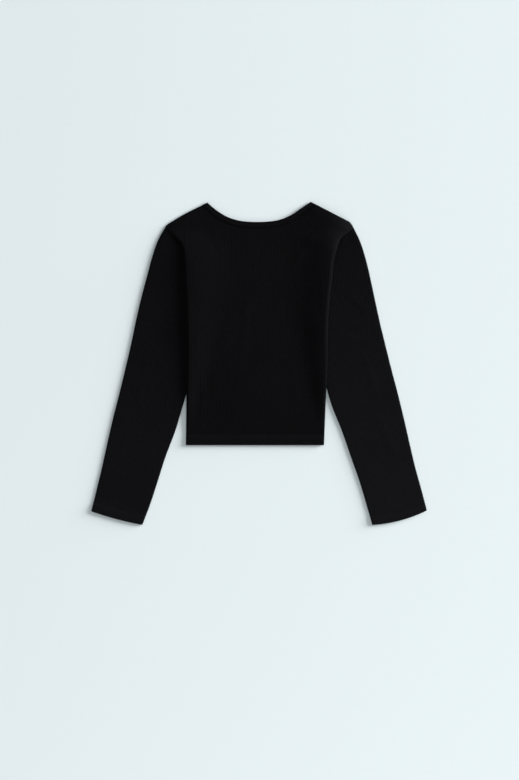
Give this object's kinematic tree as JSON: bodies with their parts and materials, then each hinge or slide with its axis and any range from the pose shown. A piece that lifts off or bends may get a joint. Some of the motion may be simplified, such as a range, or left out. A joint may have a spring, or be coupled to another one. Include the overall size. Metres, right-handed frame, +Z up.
{
  "type": "crop top",
  "caption": "Long-sleeved rib-knit crop top laid flat with its back up, the body lying over the tucked inner edges of the sleeves.",
  "frame": {"origin": "middle of the garment's footprint, on the surface it lies on", "axes": "+Z up from the surface, +Y from the hem to the neck, +X towards the garment's own right sleeve"},
  "size_m": [0.6708, 0.646, 0.0139],
  "materials": {
    "rib_knit": "matte black rib knit",
    "band_knit": "matte black fine rib knit",
    "thread": "black sewing thread"
  },
  "bodies": {
    "root": {"back_panel": "rib_knit", "front_panel": "rib_knit", "left_sleeve": "rib_knit", "right_sleeve": "rib_knit", "neckband": "band_knit"}
  },
  "joints": []
}
